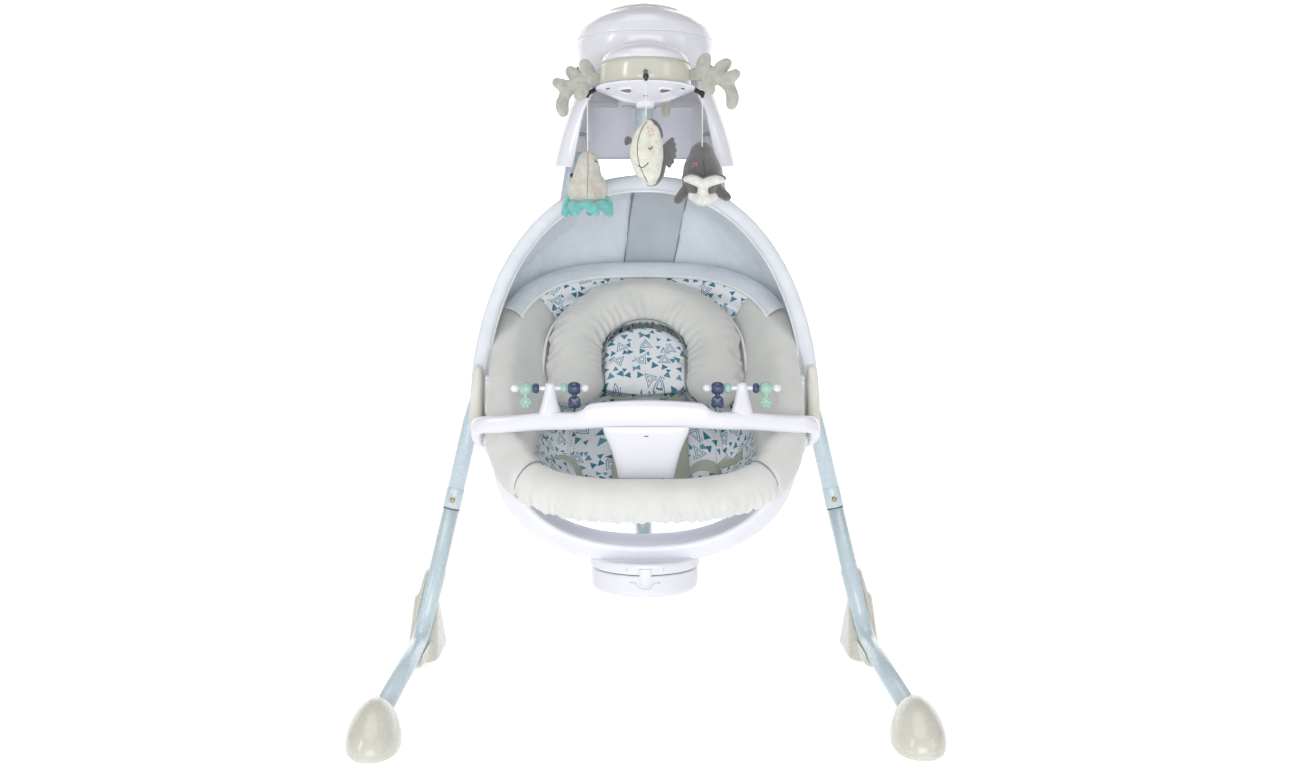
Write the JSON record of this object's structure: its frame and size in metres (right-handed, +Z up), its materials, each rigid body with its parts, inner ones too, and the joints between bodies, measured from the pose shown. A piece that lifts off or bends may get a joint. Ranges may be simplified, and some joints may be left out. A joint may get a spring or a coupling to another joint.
{
  "type": "baby swing",
  "caption": "Baby swing with a padded reclined seat in a hoop, a canopy, a play bar and a turning mobile under the head of a bent tube stand.",
  "frame": {"origin": "on the floor, at the centre of the stand's footprint", "axes": "+Z up, the seat faces -Y, +X to the right of someone looking at the seat's front"},
  "size_m": [0.853, 0.64, 1.0719],
  "materials": {
    "tube_paint": "smooth gloss paint, blue grey",
    "foot_plastic": "moulded, gloss, grey beige",
    "brass_rivet": "formed head, satin",
    "dark_plastic": "moulded, satin black grey",
    "white_plastic": "moulded, gloss, warm white",
    "panel_plastic": "moulded, gloss, grey beige",
    "button_plastic": "moulded, gloss white",
    "inner_plastic": "moulded, unpolished",
    "copper_coil": "wound enamelled wire",
    "bright_steel": "drawn and plated",
    "bracket_steel": "pressed plate, pale paint",
    "print_fabric": "woven, off white with a small teal triangle print",
    "grey_fabric": "short pile knit over wadding, pale grey",
    "sage_webbing": "woven webbing, sage green",
    "sage_plastic": "moulded, satin sage green",
    "canopy_fabric": "woven, pale blue grey",
    "cream_fabric": "woven, cream",
    "axle_plastic": "moulded, gloss white",
    "mint_plastic": "moulded, gloss mint green",
    "navy_plastic": "moulded, gloss navy blue",
    "hub_plastic": "moulded, gloss, grey beige",
    "black_plastic": "moulded, satin black",
    "leaf_plush": "plush felt, grey green",
    "jellyfish_plush": "plush, grey beige",
    "fish_plush": "plush, cream",
    "whale_plush": "plush, dark grey",
    "white_cord": "thin braided cord, white"
  },
  "bodies": {
    "root": {"upper_leg_left": "tube_paint", "upper_leg_right": "tube_paint", "lower_leg_left": "tube_paint", "lower_leg_right": "tube_paint", "heel_foot_left": "foot_plastic", "heel_foot_right": "foot_plastic", "front_foot_left": "foot_plastic", "front_foot_right": "foot_plastic", "leg_rivets": "brass_rivet", "head_lower_shell": "white_plastic", "head_upper_shell": "white_plastic", "control_panel": "panel_plastic", "head_chassis": "inner_plastic", "drive_coil": "copper_coil", "mobile_motor": "bright_steel", "axle_bearings": "bright_steel"},
    "swing_arm": {"swing_axle": "bright_steel", "arm_hub": "inner_plastic", "arm_tube": "tube_paint", "drive_magnet": "dark_plastic", "swivel_cup": "white_plastic"},
    "seat": {"swivel_collar": "white_plastic", "seat_hoop": "white_plastic", "side_bracket_left": "bracket_steel", "side_bracket_right": "bracket_steel", "seat_rim": "bright_steel", "seat_bucket": "print_fabric", "bolster_left": "grey_fabric", "bolster_right": "grey_fabric", "front_roll": "grey_fabric", "rear_roll": "print_fabric", "head_pillow": "grey_fabric", "pillow_pad": "print_fabric", "harness_straps": "sage_webbing", "harness_buckle": "sage_plastic"},
    "canopy": {"canopy_bow": "bright_steel", "canopy_hood": "canopy_fabric", "canopy_flaps": "cream_fabric"},
    "tray": {"tray_bar": "white_plastic", "crotch_post": "white_plastic", "toy_axles": "axle_plastic"},
    "spinner_a": {"spinner_1": "mint_plastic"},
    "spinner_b": {"spinner_2": "navy_plastic"},
    "spinner_c": {"spinner_3": "navy_plastic"},
    "spinner_d": {"spinner_4": "mint_plastic"},
    "mobile": {"mobile_hub": "hub_plastic", "mobile_bowl": "white_plastic", "mobile_pegs": "black_plastic", "leaf_branches": "leaf_plush", "mobile_strings": "white_cord"},
    "jellyfish_toy": {"jellyfish": "jellyfish_plush"},
    "fish_toy": {"fish": "fish_plush"},
    "whale_toy": {"whale": "whale_plush"},
    "leg_button_l": {"leg_button_left": "dark_plastic"},
    "leg_button_r": {"leg_button_right": "dark_plastic"},
    "button_1": {"panel_button_1": "button_plastic"},
    "button_2": {"panel_button_2": "button_plastic"},
    "button_3": {"panel_button_3": "button_plastic"},
    "button_4": {"panel_button_4": "button_plastic"},
    "button_5": {"panel_button_5": "button_plastic"}
  },
  "joints": [
    {"name": "swing", "type": "hinge", "parent": "root", "child": "swing_arm", "pos_m": [0, 0.087, 0.946], "axis": [0, 1, 0], "range_deg": [-10, 10]},
    {"name": "seat_turn", "type": "hinge", "parent": "swing_arm", "child": "seat", "pos_m": [0, -0.025, 0.217], "axis": [0, 0, 1], "range_deg": [-15, 15]},
    {"name": "canopy_fold", "type": "hinge", "parent": "seat", "child": "canopy", "pos_m": [0, -0.06, 0.44], "axis": [1, 0, 0], "range_deg": [-15, 0], "deforming": ["canopy_hood", "canopy_flaps"]},
    {"name": "tray_lift", "type": "hinge", "parent": "seat", "child": "tray", "pos_m": [0, -0.12, 0.428], "axis": [-1, 0, 0], "range_deg": [0, 70]},
    {"name": "spinner_1_spin", "type": "hinge", "parent": "tray", "child": "spinner_a", "pos_m": [-0.166, -0.215, 0.5135], "axis": [1, 0, 0], "continuous": true},
    {"name": "spinner_2_spin", "type": "hinge", "parent": "tray", "child": "spinner_b", "pos_m": [-0.102, -0.215, 0.5135], "axis": [1, 0, 0], "continuous": true},
    {"name": "spinner_3_spin", "type": "hinge", "parent": "tray", "child": "spinner_c", "pos_m": [0.102, -0.215, 0.5135], "axis": [1, 0, 0], "continuous": true},
    {"name": "spinner_4_spin", "type": "hinge", "parent": "tray", "child": "spinner_d", "pos_m": [0.166, -0.215, 0.5135], "axis": [1, 0, 0], "continuous": true},
    {"name": "mobile_turn", "type": "hinge", "parent": "root", "child": "mobile", "pos_m": [0, -0.115, 0.985], "axis": [0, 0.0958, 0.9954], "continuous": true, "deforming": ["leaf_branches"]},
    {"name": "fish_twist", "type": "hinge", "parent": "mobile", "child": "fish_toy", "pos_m": [0, -0.21696, 0.8933], "axis": [0, 0, 1], "continuous": true},
    {"name": "whale_twist", "type": "hinge", "parent": "mobile", "child": "whale_toy", "pos_m": [0.08487, -0.07063, 0.84122], "axis": [0, 0, 1], "continuous": true},
    {"name": "jellyfish_twist", "type": "hinge", "parent": "mobile", "child": "jellyfish_toy", "pos_m": [-0.08487, -0.07063, 0.85022], "axis": [0, 0, 1], "continuous": true},
    {"name": "button_1_press", "type": "slide", "parent": "root", "child": "button_1", "axis": [0, -0.0958, -0.9954], "range_m": [0, 0.0015], "stiffness_N_per_m": 400},
    {"name": "button_2_press", "type": "slide", "parent": "root", "child": "button_2", "axis": [0, -0.0958, -0.9954], "range_m": [0, 0.0015], "stiffness_N_per_m": 400},
    {"name": "button_3_press", "type": "slide", "parent": "root", "child": "button_3", "axis": [0, -0.0958, -0.9954], "range_m": [0, 0.0015], "stiffness_N_per_m": 400},
    {"name": "button_4_press", "type": "slide", "parent": "root", "child": "button_4", "axis": [0, -0.0958, -0.9954], "range_m": [0, 0.0015], "stiffness_N_per_m": 400},
    {"name": "button_5_press", "type": "slide", "parent": "root", "child": "button_5", "axis": [0, -0.0958, -0.9954], "range_m": [0, 0.0015], "stiffness_N_per_m": 400},
    {"name": "leg_button_l_press", "type": "slide", "parent": "root", "child": "leg_button_l", "axis": [0, 1, 0], "range_m": [0, 0.002], "stiffness_N_per_m": 400},
    {"name": "leg_button_r_press", "type": "slide", "parent": "root", "child": "leg_button_r", "axis": [0, 1, 0], "range_m": [0, 0.002], "stiffness_N_per_m": 400}
  ]
}
